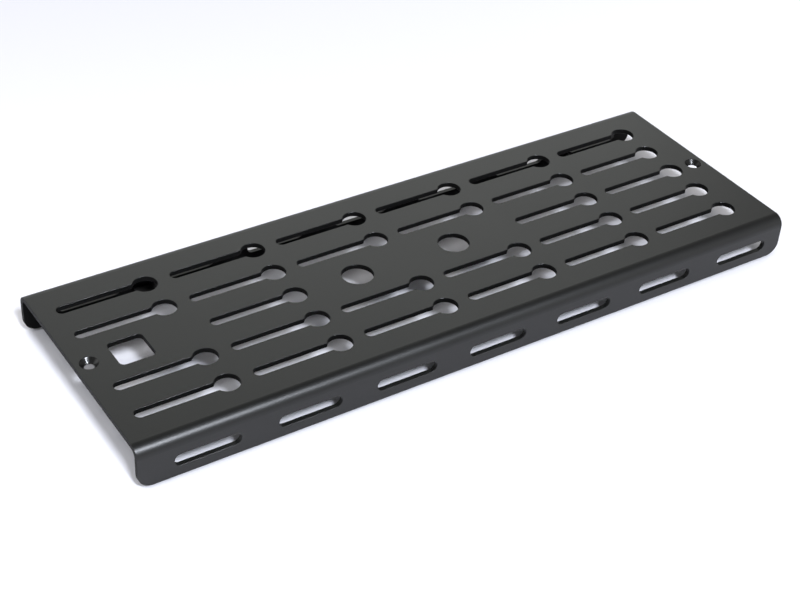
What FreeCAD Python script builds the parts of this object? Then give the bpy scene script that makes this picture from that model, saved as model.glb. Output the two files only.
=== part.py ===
import FreeCAD, Part
import math
import os

import Sketcher

# A floor board for effect pedals: one punched and bent aluminium plate that stands on four rubber feet.
# Millimetres. +X runs along the board, +Y to its rear, +Z up. The origin is on the floor under the middle
# of the board, so the feet stand on z = 0 and the board's left end is towards -X.

DIMENSIONS = {
    # the plate's outside sizes
    "plate_length": 420.0,
    "plate_depth": 146.0,
    "plate_height": 25.0,
    "sheet_thickness": 3.0,
    "bend_radius": 6.5,
    "flange_corner": 8.0,
    "floor_gap": 1.5,
    # keyholes: a round entry, and a slot that runs from it towards the left end
    "column_pitch": 66.5,
    "row_pitch": 24.0,
    "column_inset": 62.0,
    "entry_diameter": 13.8,
    "slot_width": 6.5,
    "slot_reach": 51.3,
    # round cable holes and the window, both in the middle row
    "cable_hole_diameter": 18.2,
    "cable_hole_inset": 168.2,
    "cable_hole_pitch": 64.2,
    "window_size": 20.0,
    "window_inset": 31.5,
    "window_corner": 3.0,
    # countersunk fixing holes, one at each end of the middle row
    "fixing_inset": 8.0,
    "fixing_diameter": 5.5,
    "fixing_head": 10.4,
    "fixing_angle": 90.0,
    # slots along both flanges, measured from the left end and down from the deck's top
    "flange_slot_pitch": 58.5,
    "flange_slot_inset": 38.4,
    "flange_slot_length": 37.0,
    "flange_slot_width": 7.0,
    "flange_slot_drop": 15.4,
    # edges softened by deburring and coating
    "throat_round": 0.8,
    "edge_round": 0.3,
    # rubber feet, each stuck to the inside of a flange by an adhesive pad, between two of its slots
    "foot_width": 13.0,
    "foot_depth": 6.0,
    "foot_height": 9.0,
    "foot_offset": 3.0,
    "foot_round": 1.2,
    "foot_rim_round": 0.6,
    "pad_thickness": 0.5,
    "pad_margin": 1.5,
}
COLUMNS = 6
ROWS_BEHIND_MIDDLE = 2
MIDDLE_ROW_COLUMNS = (2, 5, 6)
FLANGE_SLOTS = 7
FOOT_GAPS = {"left": 0.5, "right": FLANGE_SLOTS - 1.5}
TOUCH = 1e-4

doc = FreeCAD.newDocument("pedalboard")
sheet = doc.addObject("Spreadsheet::Sheet", "dimensions")
for row, (alias, value) in enumerate(DIMENSIONS.items(), start=1):
    sheet.set(f"A{row}", alias)
    sheet.set(f"B{row}", str(value))
    sheet.setAlias(f"B{row}", alias)
doc.recompute()

# where things are, as expressions on the sheet
LEFT_END = "-dimensions.plate_length / 2"
DECK_TOP = "dimensions.floor_gap + dimensions.plate_height"
COLUMN_X = f"{LEFT_END} + dimensions.column_inset"
CABLE_HOLE_X = f"{LEFT_END} + dimensions.cable_hole_inset"
WINDOW_X = f"{LEFT_END} + dimensions.window_inset"
FLANGE_SLOT_X = f"{LEFT_END} + dimensions.flange_slot_inset"
FLANGE_SLOT_Z = f"{DECK_TOP} - dimensions.flange_slot_drop"
REAR_ROW_Y = f"{ROWS_BEHIND_MIDDLE} * dimensions.row_pitch"
FLANGE_INSIDE_Y = "dimensions.plate_depth / 2 - dimensions.sheet_thickness"


def number(expression):
    """What an expression on the sheet comes to, for drawing a sketch before its constraints hold it."""
    return float(doc.getObject("dimensions").evalExpression(expression))


def at(x, y):
    return FreeCAD.Vector(x, y, 0)


def circle(x, y, radius):
    return Part.Circle(at(x, y), FreeCAD.Vector(0, 0, 1), radius)


def origin_feature(body, role):
    return next(feature for feature in body.Origin.OriginFeatures if feature.Role == role)


def new_body(label):
    body = doc.addObject("PartDesign::Body", label)
    body.Label = label
    return body


def new_sketch(body, name, plane, lift=None):
    """A sketch on one of the body's own origin planes, lifted along its normal by an expression."""
    sketch = body.newObject("Sketcher::SketchObject", name)
    sketch.AttachmentSupport = [(origin_feature(body, plane), "")]
    sketch.MapMode = "FlatFace"
    if lift:
        sketch.setExpression("AttachmentOffset.Base.z", lift)
    return sketch


def bind(sketch, expression, kind, *geometry):
    """Adds a dimensional constraint and ties its value to the sheet."""
    index = sketch.addConstraint(Sketcher.Constraint(kind, *geometry, number(expression)))
    sketch.setExpression(f"Constraints[{index}]", expression)


def hold(sketch, geometry, vertex, x, y):
    """Holds a point at x and y, each an expression, or None for a point on that axis."""
    if x is None:
        sketch.addConstraint(Sketcher.Constraint("PointOnObject", geometry, vertex, -2))
    else:
        bind(sketch, x, "DistanceX", -1, 1, geometry, vertex)
    if y is None:
        sketch.addConstraint(Sketcher.Constraint("PointOnObject", geometry, vertex, -1))
    else:
        bind(sketch, y, "DistanceY", -1, 1, geometry, vertex)


def close_loop(sketch, first, count, tangent=()):
    """Joins each piece of an outline to the next, round to the first again, smoothly after those named."""
    for step in range(count):
        here, following = first + step, first + (step + 1) % count
        kind = "Tangent" if step in tangent else "Coincident"
        sketch.addConstraint(Sketcher.Constraint(kind, here, 2, following, 1))


def draw_polygon(sketch, corners):
    """A closed outline of straight lines, each level or upright. Returns the index of its first line."""
    first = sketch.GeometryCount
    for start, end in zip(corners, corners[1:] + corners[:1]):
        sketch.addGeometry(Part.LineSegment(at(*start), at(*end)))
    close_loop(sketch, first, len(corners))
    for step, (start, end) in enumerate(zip(corners, corners[1:] + corners[:1])):
        level = abs(start[1] - end[1]) < TOUCH
        sketch.addConstraint(Sketcher.Constraint("Horizontal" if level else "Vertical", first + step))
    return first


def draw_rectangle(sketch, left, bottom, width, height):
    """A rectangle whose lower left corner and sides are expressions."""
    x, y = number(left), number(bottom)
    wide, tall = number(width), number(height)
    first = draw_polygon(sketch, [(x, y), (x + wide, y), (x + wide, y + tall), (x, y + tall)])
    hold(sketch, first, 1, left, bottom)
    bind(sketch, width, "DistanceX", first, 1, first, 2)
    bind(sketch, height, "DistanceY", first + 1, 1, first + 1, 2)


def draw_circle(sketch, x, y, diameter):
    index = sketch.addGeometry(circle(number(x), number(y) if y else 0.0, number(diameter) / 2))
    hold(sketch, index, 3, x, y)
    bind(sketch, diameter, "Diameter", index)


def draw_keyhole(sketch, x, y):
    """A round entry centred on x and y, open on its left into a slot with a round end."""
    entry, half = number("dimensions.entry_diameter / 2"), number("dimensions.slot_width / 2")
    centre_x, centre_y = number(x), number(y) if y else 0.0
    end_x = centre_x - number("dimensions.slot_reach") + half
    mouth = math.pi - math.asin(half / entry)
    throat_x = centre_x + entry * math.cos(mouth)
    round_entry = sketch.addGeometry(Part.ArcOfCircle(circle(centre_x, centre_y, entry), -mouth, mouth))
    upper = at(throat_x, centre_y + half), at(end_x, centre_y + half)
    sketch.addGeometry(Part.LineSegment(*upper))
    slot_end = circle(end_x, centre_y, half)
    round_end = sketch.addGeometry(Part.ArcOfCircle(slot_end, math.pi / 2, 3 * math.pi / 2))
    lower = at(end_x, centre_y - half), at(throat_x, centre_y - half)
    sketch.addGeometry(Part.LineSegment(*lower))
    close_loop(sketch, round_entry, 4, tangent=(1, 2))
    for side in (round_entry + 1, round_entry + 3):
        sketch.addConstraint(Sketcher.Constraint("Horizontal", side))
    sketch.addConstraint(Sketcher.Constraint("Horizontal", round_end, 3, round_entry, 3))
    hold(sketch, round_entry, 3, x, y)
    bind(sketch, "dimensions.entry_diameter / 2", "Radius", round_entry)
    bind(sketch, "dimensions.slot_width / 2", "Radius", round_end)
    reach = "dimensions.slot_reach - dimensions.slot_width / 2"
    bind(sketch, reach, "DistanceX", round_end, 3, round_entry, 3)


def draw_stadium(sketch, x, y, length, width):
    """A slot with two round ends, centred on x and y and lying along the sketch's horizontal axis."""
    half = number(width) / 2
    reach = number(length) / 2 - half
    centre_x, centre_y = number(x), number(y)
    right = Part.ArcOfCircle(circle(centre_x + reach, centre_y, half), -math.pi / 2, math.pi / 2)
    left = Part.ArcOfCircle(circle(centre_x - reach, centre_y, half), math.pi / 2, 3 * math.pi / 2)
    first = sketch.addGeometry(right)
    over = at(centre_x + reach, centre_y + half), at(centre_x - reach, centre_y + half)
    sketch.addGeometry(Part.LineSegment(*over))
    sketch.addGeometry(left)
    under = at(centre_x - reach, centre_y - half), at(centre_x + reach, centre_y - half)
    sketch.addGeometry(Part.LineSegment(*under))
    close_loop(sketch, first, 4, tangent=(0, 1, 2, 3))
    sketch.addConstraint(Sketcher.Constraint("Equal", first, first + 2))
    sketch.addConstraint(Sketcher.Constraint("Horizontal", first + 1))
    bind(sketch, f"{width} / 2", "Radius", first)
    hold(sketch, first, 3, f"{x} + ({length} - {width}) / 2", y)
    bind(sketch, f"{length} - {width}", "DistanceX", first + 2, 3, first, 3)


def cut_through(body, sketch, name):
    """A pocket both ways from the sketch, right through whatever stands there."""
    pocket = body.newObject("PartDesign::Pocket", name)
    pocket.Profile = sketch
    pocket.Type = "ThroughAll"
    pocket.Midplane = True
    sketch.Visibility = False
    doc.recompute()
    return pocket


def edges_where(shape, wanted):
    return [f"Edge{index}" for index, edge in enumerate(shape.Edges, start=1) if wanted(edge)]


def round_edges(body, name, base, names, radius):
    fillet = body.newObject("PartDesign::Fillet", name)
    fillet.Base = (base, names)
    fillet.setExpression("Radius", radius)
    doc.recompute()
    return fillet


def is_along(edge, axis):
    """Whether an edge is straight and parallel to an axis."""
    return edge.Curve.TypeId == "Part::GeomLine" and abs(abs(edge.Curve.Direction.dot(axis)) - 1) < TOUCH


X_AXIS = FreeCAD.Vector(1, 0, 0)
Y_AXIS = FreeCAD.Vector(0, 1, 0)
Z_AXIS = FreeCAD.Vector(0, 0, 1)


def build_channel(body):
    """The sheet bent down along both long sides, before anything is punched in it."""
    sketch = new_sketch(body, "channel_section", "YZ_Plane")
    half, wall = number("dimensions.plate_depth / 2"), number("dimensions.sheet_thickness")
    bottom, top = number("dimensions.floor_gap"), number(DECK_TOP)
    inner_half, inner_top = half - wall, top - wall
    outside = [(-half, bottom), (-half, top), (half, top), (half, bottom)]
    inside = [
        (inner_half, bottom),
        (inner_half, inner_top),
        (-inner_half, inner_top),
        (-inner_half, bottom),
    ]
    draw_polygon(sketch, outside + inside)
    hold(sketch, 0, 1, "-dimensions.plate_depth / 2", "dimensions.floor_gap")
    bind(sketch, "dimensions.plate_height", "DistanceY", 0, 1, 0, 2)
    bind(sketch, "dimensions.plate_depth", "DistanceX", 1, 1, 1, 2)
    for foot_line in (3, 7):
        bind(sketch, "-dimensions.sheet_thickness", "DistanceX", foot_line, 1, foot_line, 2)
    bind(sketch, "dimensions.sheet_thickness", "DistanceY", 5, 1, 1, 2)
    sketch.addConstraint(Sketcher.Constraint("Horizontal", 2, 2, 0, 1))
    channel = body.newObject("PartDesign::Pad", "channel")
    channel.Profile = sketch
    channel.Midplane = True
    channel.setExpression("Length", "dimensions.plate_length")
    doc.recompute()
    return channel


def bend_channel(body, channel):
    """Rounds the two bends inside and out, and the flanges' lower corners."""
    half = number("dimensions.plate_depth / 2")
    wall, top = number("dimensions.sheet_thickness"), number(DECK_TOP)

    def is_bend(y, z):
        def test(edge):
            middle = edge.CenterOfMass
            return is_along(edge, X_AXIS) and abs(abs(middle.y) - y) < TOUCH and abs(middle.z - z) < TOUCH

        return test

    outer = edges_where(channel.Shape, is_bend(half, top))
    bent = round_edges(body, "outer_bends", channel, outer, "dimensions.bend_radius")
    inner = edges_where(bent.Shape, is_bend(half - wall, top - wall))
    inner_radius = "dimensions.bend_radius - dimensions.sheet_thickness"
    bent = round_edges(body, "inner_bends", bent, inner, inner_radius)
    bottom = number("dimensions.floor_gap")
    corners = edges_where(
        bent.Shape, lambda edge: is_along(edge, Y_AXIS) and abs(edge.CenterOfMass.z - bottom) < TOUCH
    )
    return round_edges(body, "flange_corners", bent, corners, "dimensions.flange_corner")


def column_x(column):
    """Where the round entries of a column, counted from 1, have their centres."""
    return f"{COLUMN_X} + {column - 1} * dimensions.column_pitch"


def punch_keyholes(body):
    """Two full rows behind the middle and their mirror images in front, then the middle row's few."""
    sketch = new_sketch(body, "first_keyhole", "XY_Plane", DECK_TOP)
    draw_keyhole(sketch, column_x(1), REAR_ROW_Y)
    first = cut_through(body, sketch, "keyhole")
    grid = body.newObject("PartDesign::MultiTransform", "keyhole_grid")
    across = body.newObject("PartDesign::LinearPattern", "keyhole_columns")
    across.Direction = (origin_feature(body, "X_Axis"), [""])
    across.Occurrences = COLUMNS
    across.setExpression("Length", f"{COLUMNS - 1} * dimensions.column_pitch")
    forward = body.newObject("PartDesign::LinearPattern", "keyhole_rows")
    forward.Direction = (origin_feature(body, "Y_Axis"), [""])
    forward.Reversed = True
    forward.Occurrences = ROWS_BEHIND_MIDDLE
    forward.setExpression("Length", f"{ROWS_BEHIND_MIDDLE - 1} * dimensions.row_pitch")
    to_front = body.newObject("PartDesign::Mirrored", "keyhole_front_rows")
    to_front.MirrorPlane = (origin_feature(body, "XZ_Plane"), [""])
    grid.Originals = [first]
    grid.Transformations = [across, forward, to_front]
    body.Tip = grid
    doc.recompute()
    middle = new_sketch(body, "middle_keyholes", "XY_Plane", DECK_TOP)
    for column in MIDDLE_ROW_COLUMNS:
        draw_keyhole(middle, column_x(column), None)
    return cut_through(body, middle, "middle_row")


def punch_middle_row(body):
    """Two round cable holes and a square window, on the board's long centre line."""
    cable_holes = new_sketch(body, "cable_hole_circles", "XY_Plane", DECK_TOP)
    for x in (CABLE_HOLE_X, f"{CABLE_HOLE_X} + dimensions.cable_hole_pitch"):
        draw_circle(cable_holes, x, None, "dimensions.cable_hole_diameter")
    cut_through(body, cable_holes, "cable_holes")
    outline = new_sketch(body, "window_outline", "XY_Plane", DECK_TOP)
    side = "dimensions.window_size"
    draw_rectangle(outline, f"{WINDOW_X} - {side} / 2", f"-{side} / 2", side, side)
    window = cut_through(body, outline, "window")
    middle, reach = number(WINDOW_X), number("dimensions.window_size")

    def is_window_corner(edge):
        centre = edge.CenterOfMass
        return is_along(edge, Z_AXIS) and abs(centre.x - middle) < reach and abs(centre.y) < reach

    corners = edges_where(window.Shape, is_window_corner)
    return round_edges(body, "window_corners", window, corners, "dimensions.window_corner")


def drill_fixings(body):
    """One countersunk screw hole near each end, on the board's long centre line."""
    sketch = new_sketch(body, "fixing_circles", "XY_Plane", DECK_TOP)
    inset = "dimensions.fixing_inset"
    draw_circle(sketch, f"{LEFT_END} + {inset}", None, "dimensions.fixing_diameter")
    draw_circle(sketch, f"dimensions.plate_length / 2 - {inset}", None, "dimensions.fixing_diameter")
    doc.recompute()
    holes = body.newObject("PartDesign::Hole", "fixings")
    holes.Profile = sketch
    holes.DepthType = "ThroughAll"
    holes.setExpression("Diameter", "dimensions.fixing_diameter")
    holes.HoleCutType = "Countersink"
    holes.HoleCutCustomValues = True
    holes.setExpression("HoleCutDiameter", "dimensions.fixing_head")
    holes.setExpression("HoleCutCountersinkAngle", "dimensions.fixing_angle")
    sketch.Visibility = False
    doc.recompute()
    return holes


def punch_flanges(body):
    """A row of slots through both flanges at once, so that the rear slots stand behind the front ones."""
    sketch = new_sketch(body, "first_flange_slot", "XZ_Plane")
    length, width = "dimensions.flange_slot_length", "dimensions.flange_slot_width"
    draw_stadium(sketch, FLANGE_SLOT_X, FLANGE_SLOT_Z, length, width)
    first = cut_through(body, sketch, "flange_slot")
    slots = body.newObject("PartDesign::LinearPattern", "flange_slots")
    slots.Originals = [first]
    slots.Direction = (origin_feature(body, "X_Axis"), [""])
    slots.Occurrences = FLANGE_SLOTS
    slots.setExpression("Length", f"{FLANGE_SLOTS - 1} * dimensions.flange_slot_pitch")
    body.Tip = slots
    doc.recompute()
    return slots


def soften_edges(body, plate):
    """Rounds the corner where each slot meets its entry, then the rim of every opening and face."""
    half_slot, entry = number("dimensions.slot_width / 2"), number("dimensions.entry_diameter / 2")
    wall = number("dimensions.sheet_thickness")
    throat = math.sqrt(entry**2 - half_slot**2)
    first, pitch = number(COLUMN_X), number("dimensions.column_pitch")
    throats = [first + column * pitch - throat for column in range(COLUMNS)]

    def is_throat(edge):
        place = edge.CenterOfMass
        return is_along(edge, Z_AXIS) and any(abs(place.x - x) < TOUCH for x in throats)

    eased = round_edges(
        body, "throats", plate, edges_where(plate.Shape, is_throat), "dimensions.throat_round"
    )
    deck_top, half_depth = number(DECK_TOP), number("dimensions.plate_depth / 2")
    fixing_rim = math.pi * number("dimensions.fixing_diameter")
    plate_length = number("dimensions.plate_length")
    faces_z = (deck_top, deck_top - wall)
    faces_y = (half_depth, half_depth - wall)

    def is_rim(edge):
        box = edge.BoundBox
        flat_z = box.ZLength < TOUCH and any(abs(box.ZMin - z) < TOUCH for z in faces_z)
        flat_y = box.YLength < TOUCH and any(abs(abs(box.YMin) - y) < TOUCH for y in faces_y)
        bend_line = is_along(edge, X_AXIS) and abs(edge.Length - plate_length) < TOUCH
        screw_land = abs(edge.Length - fixing_rim) < TOUCH
        return (flat_z or flat_y) and not bend_line and not screw_land

    rims = edges_where(eased.Shape, is_rim)
    return round_edges(body, "rims", eased, rims, "dimensions.edge_round")


def build_plate():
    body = new_body("deck_plate")
    bend_channel(body, build_channel(body))
    punch_keyholes(body)
    punch_middle_row(body)
    drill_fixings(body)
    soften_edges(body, punch_flanges(body))
    return body


def place_at_flange(body, gap, side, setback):
    """Puts a body between two flange slots, its back, the local XZ plane, a setback from the flange."""
    middle = f"{FLANGE_SLOT_X} + {gap} * dimensions.flange_slot_pitch + dimensions.foot_offset"
    body.setExpression("Placement.Base.x", middle)
    sign = "" if side == "rear" else "-"
    body.setExpression("Placement.Base.y", f"{sign}({FLANGE_INSIDE_Y} - {setback})")
    body.Placement.Rotation = FreeCAD.Rotation(Z_AXIS, 0 if side == "rear" else 180)


def build_block(body, name, bottom, width, depth, height):
    """A block behind the local XZ plane, centred on the local YZ plane."""
    sketch = new_sketch(body, f"{name}_outline", "XY_Plane", bottom)
    draw_rectangle(sketch, f"-{width} / 2", f"-{depth}", width, depth)
    block = body.newObject("PartDesign::Pad", name)
    block.Profile = sketch
    block.setExpression("Length", height)
    sketch.Visibility = False
    doc.recompute()
    return block


def build_foot(label, gap, side):
    body = new_body(label)
    width, depth, height = (f"dimensions.foot_{size}" for size in ("width", "depth", "height"))
    block = build_block(body, f"{label}_block", None, width, depth, height)
    uprights = edges_where(block.Shape, lambda edge: is_along(edge, Z_AXIS))
    eased = round_edges(body, f"{label}_corners", block, uprights, "dimensions.foot_round")
    rims = edges_where(eased.Shape, lambda edge: edge.BoundBox.ZLength < TOUCH)
    round_edges(body, f"{label}_rims", eased, rims, "dimensions.foot_rim_round")
    place_at_flange(body, gap, side, "dimensions.pad_thickness")
    return body


def build_pad(label, gap, side):
    body = new_body(label)
    bottom = "dimensions.floor_gap + dimensions.pad_margin"
    width = "(dimensions.foot_width - 2 * dimensions.pad_margin)"
    height = f"dimensions.foot_height - dimensions.pad_margin - ({bottom})"
    build_block(body, f"{label}_film", bottom, width, "dimensions.pad_thickness", height)
    place_at_flange(body, gap, side, "0")
    return body


parts = [build_plate()]
for side in ("front", "rear"):
    for end, gap in FOOT_GAPS.items():
        parts.append(build_foot(f"foot_{side}_{end}", gap, side))
        parts.append(build_pad(f"adhesive_{side}_{end}", gap, side))
doc.recompute()

for item in doc.Objects:
    if "Invalid" in item.State or "Error" in item.State:
        raise RuntimeError(f"{item.Label} did not recompute: {item.State}")
os.makedirs("parts", exist_ok=True)
for body in parts:
    if body.Shape.isNull() or not body.Shape.isValid() or len(body.Shape.Solids) != 1:
        raise RuntimeError(f"{body.Label} is not one sound solid")
    body.Shape.exportStep(f"parts/{body.Label}.step")
    print(body.Label, "volume", round(body.Shape.Volume, 1), body.Shape.BoundBox)
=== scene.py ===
import math

import bpy
from mathutils import Euler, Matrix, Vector


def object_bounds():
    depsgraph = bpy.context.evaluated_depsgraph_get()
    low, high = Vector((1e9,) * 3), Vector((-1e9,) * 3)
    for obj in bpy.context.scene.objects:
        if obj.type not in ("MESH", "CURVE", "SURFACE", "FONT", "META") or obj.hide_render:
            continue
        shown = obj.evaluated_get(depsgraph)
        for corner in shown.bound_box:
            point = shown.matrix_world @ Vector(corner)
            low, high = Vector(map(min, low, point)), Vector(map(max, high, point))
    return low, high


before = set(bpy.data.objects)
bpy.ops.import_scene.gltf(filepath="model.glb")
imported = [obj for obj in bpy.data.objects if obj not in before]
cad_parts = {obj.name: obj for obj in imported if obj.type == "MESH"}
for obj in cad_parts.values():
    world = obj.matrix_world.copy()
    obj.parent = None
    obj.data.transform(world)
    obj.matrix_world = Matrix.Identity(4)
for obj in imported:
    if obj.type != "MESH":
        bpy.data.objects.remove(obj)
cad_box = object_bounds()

MM = 0.001


# ---- deck plate ----------------------------------------------------------------------------------------
# One aluminium sheet, punched flat and then bent down along both long sides. It is powder coated in a fine
# satin black after the punching, so the coat runs over every rim and into every slot. It lies thin and matt
# on the cut walls and inside the bends and flanges, which the spray hardly reaches. There it is also painted
# darker, as painted shade in these recesses, and the rear flange's slot walls get part of that painted shade.


class Signal:
    """A shader socket that takes part in arithmetic: each operation adds its own Math node."""

    def __init__(self, finish, socket):
        self.finish = finish
        self.socket = socket

    def math(self, operation, first, second):
        return self.finish.node("Math", {"operation": operation}, {0: first, 1: second})

    def __add__(self, other):
        return self.math("ADD", self, other)

    def __sub__(self, other):
        return self.math("SUBTRACT", self, other)

    def __rsub__(self, other):
        return self.math("SUBTRACT", other, self)

    def __mul__(self, other):
        return self.math("MULTIPLY", self, other)

    def __gt__(self, other):
        return self.math("GREATER_THAN", self, other)

    def __lt__(self, other):
        return self.math("LESS_THAN", self, other)

    def __abs__(self):
        return self.math("ABSOLUTE", self, 0.0)

    __radd__ = __add__
    __rmul__ = __mul__


class Finish:
    """The nodes of one material, or of the world, in the making."""

    def __init__(self, owner):
        self.owner = owner
        self.owner.use_nodes = True
        self.tree = self.owner.node_tree
        self.tree.nodes.clear()

    def node(self, kind, settings=None, sockets=None, out=0):
        """Adds a node of any kind: its settings first, then its sockets' values and links."""
        made = self.tree.nodes.new("ShaderNode" + kind)
        for name, value in (settings or {}).items():
            setattr(made, name, value)
        for name, value in (sockets or {}).items():
            if isinstance(value, Signal):
                self.tree.links.new(value.socket, made.inputs[name])
            else:
                made.inputs[name].default_value = value
        return Signal(self, made.outputs[out]) if made.outputs else None

    def noise(self, grain, detail=2.0):
        """Cloudy variation about 0.5, with lumps about grain metres across."""
        place = self.node("TexCoord", out="Object")
        return self.node("TexNoise", sockets={"Vector": place, "Scale": 1 / grain, "Detail": detail})

    def axes(self, output):
        """The x, y and z of a vector from the Texture Coordinate node, such as Object or Normal."""
        vector = self.node("TexCoord", out=output)
        return [self.node("SeparateXYZ", sockets={"Vector": vector}, out=axis) for axis in "XYZ"]

    def blend(self, factor, low, high):
        """A colour between two, by a factor."""
        mix = self.node("Mix", {"data_type": "RGBA"}, {"Factor": factor}).socket.node
        colours = [socket for socket in mix.inputs if socket.type == "RGBA"]
        for socket, colour in zip(colours, (low, high)):
            socket.default_value = (*colour, 1.0)
        return Signal(self, next(socket for socket in mix.outputs if socket.type == "RGBA"))

    def bump(self, height, depth):
        return self.node("Bump", sockets={"Height": height, "Distance": depth, "Strength": 1.0})

    def shader(self, **sockets):
        """A surface shader. Underscores in the socket names stand for spaces."""
        named = {name.replace("_", " "): value for name, value in sockets.items()}
        return self.node("BsdfPrincipled", sockets=named)

    def close(self, surface):
        """Ends the nodes with a surface and gives the finished material."""
        self.node("OutputMaterial", sockets={"Surface": surface})
        return self.owner


def between(low, signal, high):
    """1 where the signal lies between two bounds, else 0."""
    return (signal > low) * (signal < high)


# The outline comes from the frame. Each region of the coat reaches a margin past the surfaces it covers, and
# the region inside the bends ends a hair below the deck's underside, which is coated like the top.
SHEET = 3.0 * MM
BEND_RADIUS = 6.5 * MM
RIM = 0.3 * MM
COUNTERSINK_INSET = 8.0 * MM
COUNTERSINK_RADIUS = 5.2 * MM
FLANGE_SLOT_DROP = 15.4 * MM
FLANGE_SLOT_RADIUS = 3.5 * MM
MARGIN = 0.1 * MM
HAIR = 0.005 * MM
SIDEWAYS = 0.35
ENDWAYS = 0.9
half_length, half_width, deck_top = cad_box[1]
end_faces = half_length - RIM - MARGIN
flat_half_width = half_width - BEND_RADIUS - MARGIN
inner_half_width = half_width - SHEET + MARGIN
underside = deck_top - SHEET - HAIR
cone_middle = half_length - COUNTERSINK_INSET
cone_reach = COUNTERSINK_RADIUS + MARGIN
slot_middle = deck_top - FLANGE_SLOT_DROP
slot_reach = FLANGE_SLOT_RADIUS + RIM + MARGIN

powder = Finish(bpy.data.materials.new("powder_coat_black"))
speck = powder.noise(0.35 * MM)
peel = powder.noise(1.4 * MM)
cloud = powder.noise(40 * MM, detail=3.0)
x, y, z = powder.axes("Object")
facing_x, facing_y, facing_z = powder.axes("Normal")

cone_lengthways = between(cone_middle - cone_reach, abs(x), cone_middle + cone_reach)
cone = cone_lengthways * (abs(y) < cone_reach) * between(underside, z, deck_top - MARGIN)
face = powder.shader(
    Base_Color=powder.blend(cloud * 0.6 + speck * 0.4, (0.002, 0.0021, 0.002), (0.006, 0.0063, 0.006)),
    Roughness=0.34 + cloud * 0.05 + speck * 0.04 - cone * 0.12,
    IOR=1.45,
    Normal=powder.bump(peel * 0.6 + speck * 0.4, 0.006 * MM),
)

upright = abs(facing_z) < SIDEWAYS
hole_walls = (abs(x) < end_faces) * (abs(y) < flat_half_width) * (z > underside) * upright
cut_ends = (abs(x) > end_faces) * (abs(facing_x) > ENDWAYS)
inside = (abs(y) < inner_half_width) * (z < underside)
slot_heights = between(slot_middle - slot_reach, z, slot_middle + slot_reach)
rear_slot_walls = (y > inner_half_width) * (abs(facing_y) < SIDEWAYS) * slot_heights
# Painted shade: where the coat is thin and matt its colour is also darker, which darkens the hole walls, cut
# ends and insides as shade would; the rear flange's slot walls get 0.4 of it.
thin_coat_and_painted_shade = hole_walls + cut_ends + inside + rear_slot_walls * 0.4
thin_matt_and_painted_shade = powder.shader(
    Base_Color=powder.blend(speck, (0.001, 0.001, 0.001), (0.003, 0.003, 0.003)),
    Roughness=0.55 + speck * 0.1,
    IOR=1.5,
    Specular_IOR_Level=0.12,
    Normal=powder.bump(speck, 0.012 * MM),
)
coat = powder.node("MixShader", sockets={0: thin_coat_and_painted_shade, 1: face, 2: thin_matt_and_painted_shade})
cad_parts["deck_plate"].material_slots[0].material = powder.close(coat)


# ---- rubber feet ---------------------------------------------------------------------------------------
# Four moulded blocks of black rubber, one inside each end of both flanges. They stand a little below the
# sheet, so that the metal never touches what the board stands on.

rubber = Finish(bpy.data.materials.new("moulded_rubber"))
pores = rubber.noise(0.5 * MM)
bloom = rubber.noise(6 * MM)
block = rubber.shader(
    Base_Color=rubber.blend(bloom, (0.007, 0.007, 0.007), (0.018, 0.018, 0.017)),
    Roughness=0.62 + bloom * 0.18,
    IOR=1.52,
    Normal=rubber.bump(pores, 0.02 * MM),
)
foot_rubber = rubber.close(block)
CORNERS = [f"{side}_{end}" for side in ("front", "rear") for end in ("left", "right")]
for corner in CORNERS:
    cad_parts["foot_" + corner].material_slots[0].material = foot_rubber


# ---- adhesive pads -------------------------------------------------------------------------------------
# A short piece of pale foam tape behind each foot. It is self-adhesive on both sides and holds the foot to
# the inside of the flange.

tape = Finish(bpy.data.materials.new("foam_tape"))
cells = tape.noise(0.3 * MM)
foam = tape.shader(
    Base_Color=tape.blend(cells, (0.42, 0.41, 0.38), (0.56, 0.55, 0.51)),
    Roughness=0.75 + cells * 0.15,
    Normal=tape.bump(cells, 0.03 * MM),
)
adhesive_film = tape.close(foam)
for corner in CORNERS:
    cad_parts["adhesive_" + corner].material_slots[0].material = adhesive_film


# ---- floor ---------------------------------------------------------------------------------------------
# A plain pale sheet that runs on to the horizon. It is lit from within away from the board, so that it
# stays as pale there as it is under the lamps.

FLOOR_SIZE = 16.0

bpy.ops.mesh.primitive_plane_add(size=FLOOR_SIZE)
floor = bpy.context.object
floor.name = "floor"
pale = Finish(bpy.data.materials.new("pale_floor"))
floor_x, floor_y = pale.axes("Object")[:2]
distance_squared = floor_x * floor_x + floor_y * floor_y
sheet = pale.shader(
    Base_Color=(0.80, 0.815, 0.885, 1.0),
    Roughness=0.9,
    Specular_IOR_Level=0.1,
    Emission_Color=pale.blend(distance_squared * 0.8 - 0.25, (0.0, 0.0, 0.0), (1.0, 1.0, 1.0)),
    Emission_Strength=0.8,
)
floor.data.materials.append(pale.close(sheet))


# ---- lights --------------------------------------------------------------------------------------------
# A square soft box high in front lights the floor through the holes, helped by a low card at each end and an
# even wash from overhead. A second soft box draws the bright line along the front bend. The deck and the ends
# mirror three broad dim panels, and a surround that is palest near the horizon. To the eye it is plain white.

ORIGIN = (0.0, 0.0, 0.0)
WHITE = (1.0, 1.0, 1.0)


def hang(lamp, place, mirrored=False, spills=False):
    """Hangs a lamp, turned to the board. Shiny coats mirror it, or it spills on matt things."""
    holder = bpy.data.objects.new(lamp.name, lamp)
    bpy.context.scene.collection.objects.link(holder)
    holder.location = place
    holder.rotation_euler = (Vector(ORIGIN) - Vector(place)).to_track_quat("-Z", "Y").to_euler()
    holder.visible_camera = False
    holder.visible_glossy = mirrored
    holder.visible_diffuse = spills


def soft_box(name, place, wide, tall, radiance, colour, **use):
    """A rectangular light turned to the board. Its radiance is that of a white floor when 1."""
    lamp = bpy.data.lights.new(name, "AREA")
    lamp.shape = "RECTANGLE"
    lamp.size = wide
    lamp.size_y = tall
    lamp.energy = radiance * math.pi * wide * tall
    lamp.color = colour
    hang(lamp, place, **use)


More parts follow.
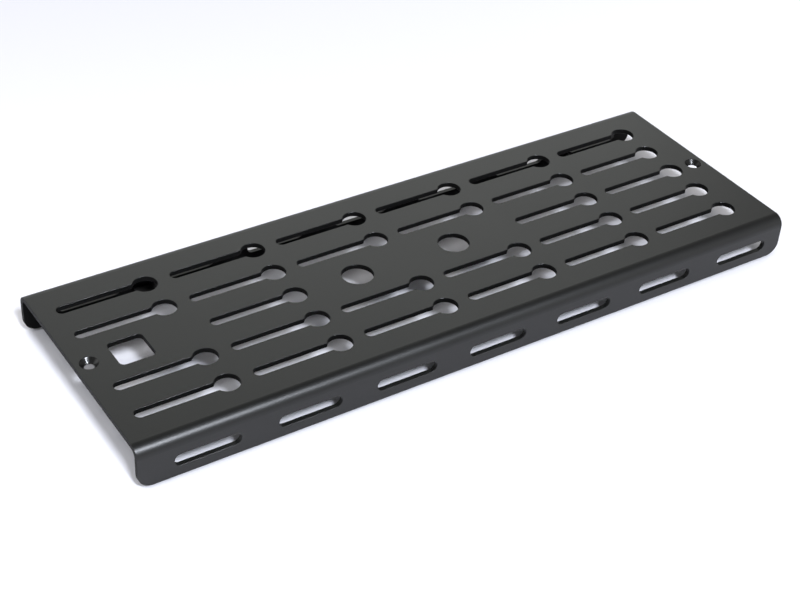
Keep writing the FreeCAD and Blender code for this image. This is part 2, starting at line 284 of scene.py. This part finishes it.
soft_box("key_box", (-0.445, -2.08, 2.26), 0.46, 0.46, 145.0, (0.97, 0.99, 1.04), spills=True)
soft_box("left_card", (-0.44, -0.02, 0.34), 0.12, 0.30, 5.5, WHITE, spills=True)
soft_box("right_card", (0.55, 0.05, 0.28), 0.20, 0.30, 1.5, WHITE, spills=True)
soft_box("front_gleam", (0.04, -1.04, 1.15), 0.22, 0.22, 272.0, (0.94, 0.99, 1.09), mirrored=True)
soft_box("rear_panel", (0.95, 1.75, 1.15), 1.7, 1.2, 1.38, (0.97, 1.01, 0.985), mirrored=True)
soft_box("left_panel", (-1.5, 1.5, 1.0), 1.7, 1.2, 1.2, (0.97, 1.0, 1.0), mirrored=True)
soft_box("right_panel", (1.65, -1.65, 0.65), 1.7, 0.7, 0.9, (0.97, 1.0, 1.0), mirrored=True)

wash = bpy.data.lights.new("overhead_wash", "SUN")
wash.energy = 0.95
wash.angle = math.radians(50)
wash.color = (1.05, 1.0, 0.92)
hang(wash, (0.0, -0.3, 3.0), spills=True)

studio = Finish(bpy.data.worlds.new("studio"))
bpy.context.scene.world = studio.owner
upward = studio.axes("Generated")[2]
walls = studio.blend(upward * 5.0 - 3.3, (0.35, 0.345, 0.335), (0.08, 0.08, 0.08))
around = studio.node("Background", sockets={"Color": walls, "Strength": 1.0})
behind = studio.node("Background", sockets={"Color": (*WHITE, 1.0), "Strength": 1.0})
seen = studio.node("LightPath", out="Is Camera Ray")
air = studio.node("MixShader", sockets={0: seen, 1: around, 2: behind})
studio.node("OutputWorld", sockets={"Surface": air})


# ---- camera --------------------------------------------------------------------------------------------
# A long lens to the front and left of the board, well above it and rolled a little, so that the board runs
# from the lower left to the upper right. Angles are in degrees, lens sizes in millimetres.

CAMERA_AZIMUTH = -34.45
CAMERA_ELEVATION = 36.61
CAMERA_ROLL = 3.30
CAMERA_DISTANCE = 0.9363
CAMERA_AIM = Vector((-0.0139, -0.0022, 0.0))
SENSOR_WIDTH = 36.0
FOCAL_LENGTH = 73.90

lens = bpy.data.cameras.new("camera")
lens.sensor_width = SENSOR_WIDTH
lens.lens = FOCAL_LENGTH
camera = bpy.data.objects.new("camera", lens)
bpy.context.scene.collection.objects.link(camera)
turn = Euler((math.radians(90 - CAMERA_ELEVATION), 0.0, math.radians(CAMERA_AZIMUTH)))
roll = Euler((0.0, 0.0, math.radians(CAMERA_ROLL)))
facing = turn.to_matrix() @ roll.to_matrix()
camera.rotation_euler = facing.to_euler()
camera.location = CAMERA_AIM + facing @ Vector((0.0, 0.0, CAMERA_DISTANCE))
bpy.context.scene.camera = camera
bpy.context.scene.view_settings.view_transform = "Standard"
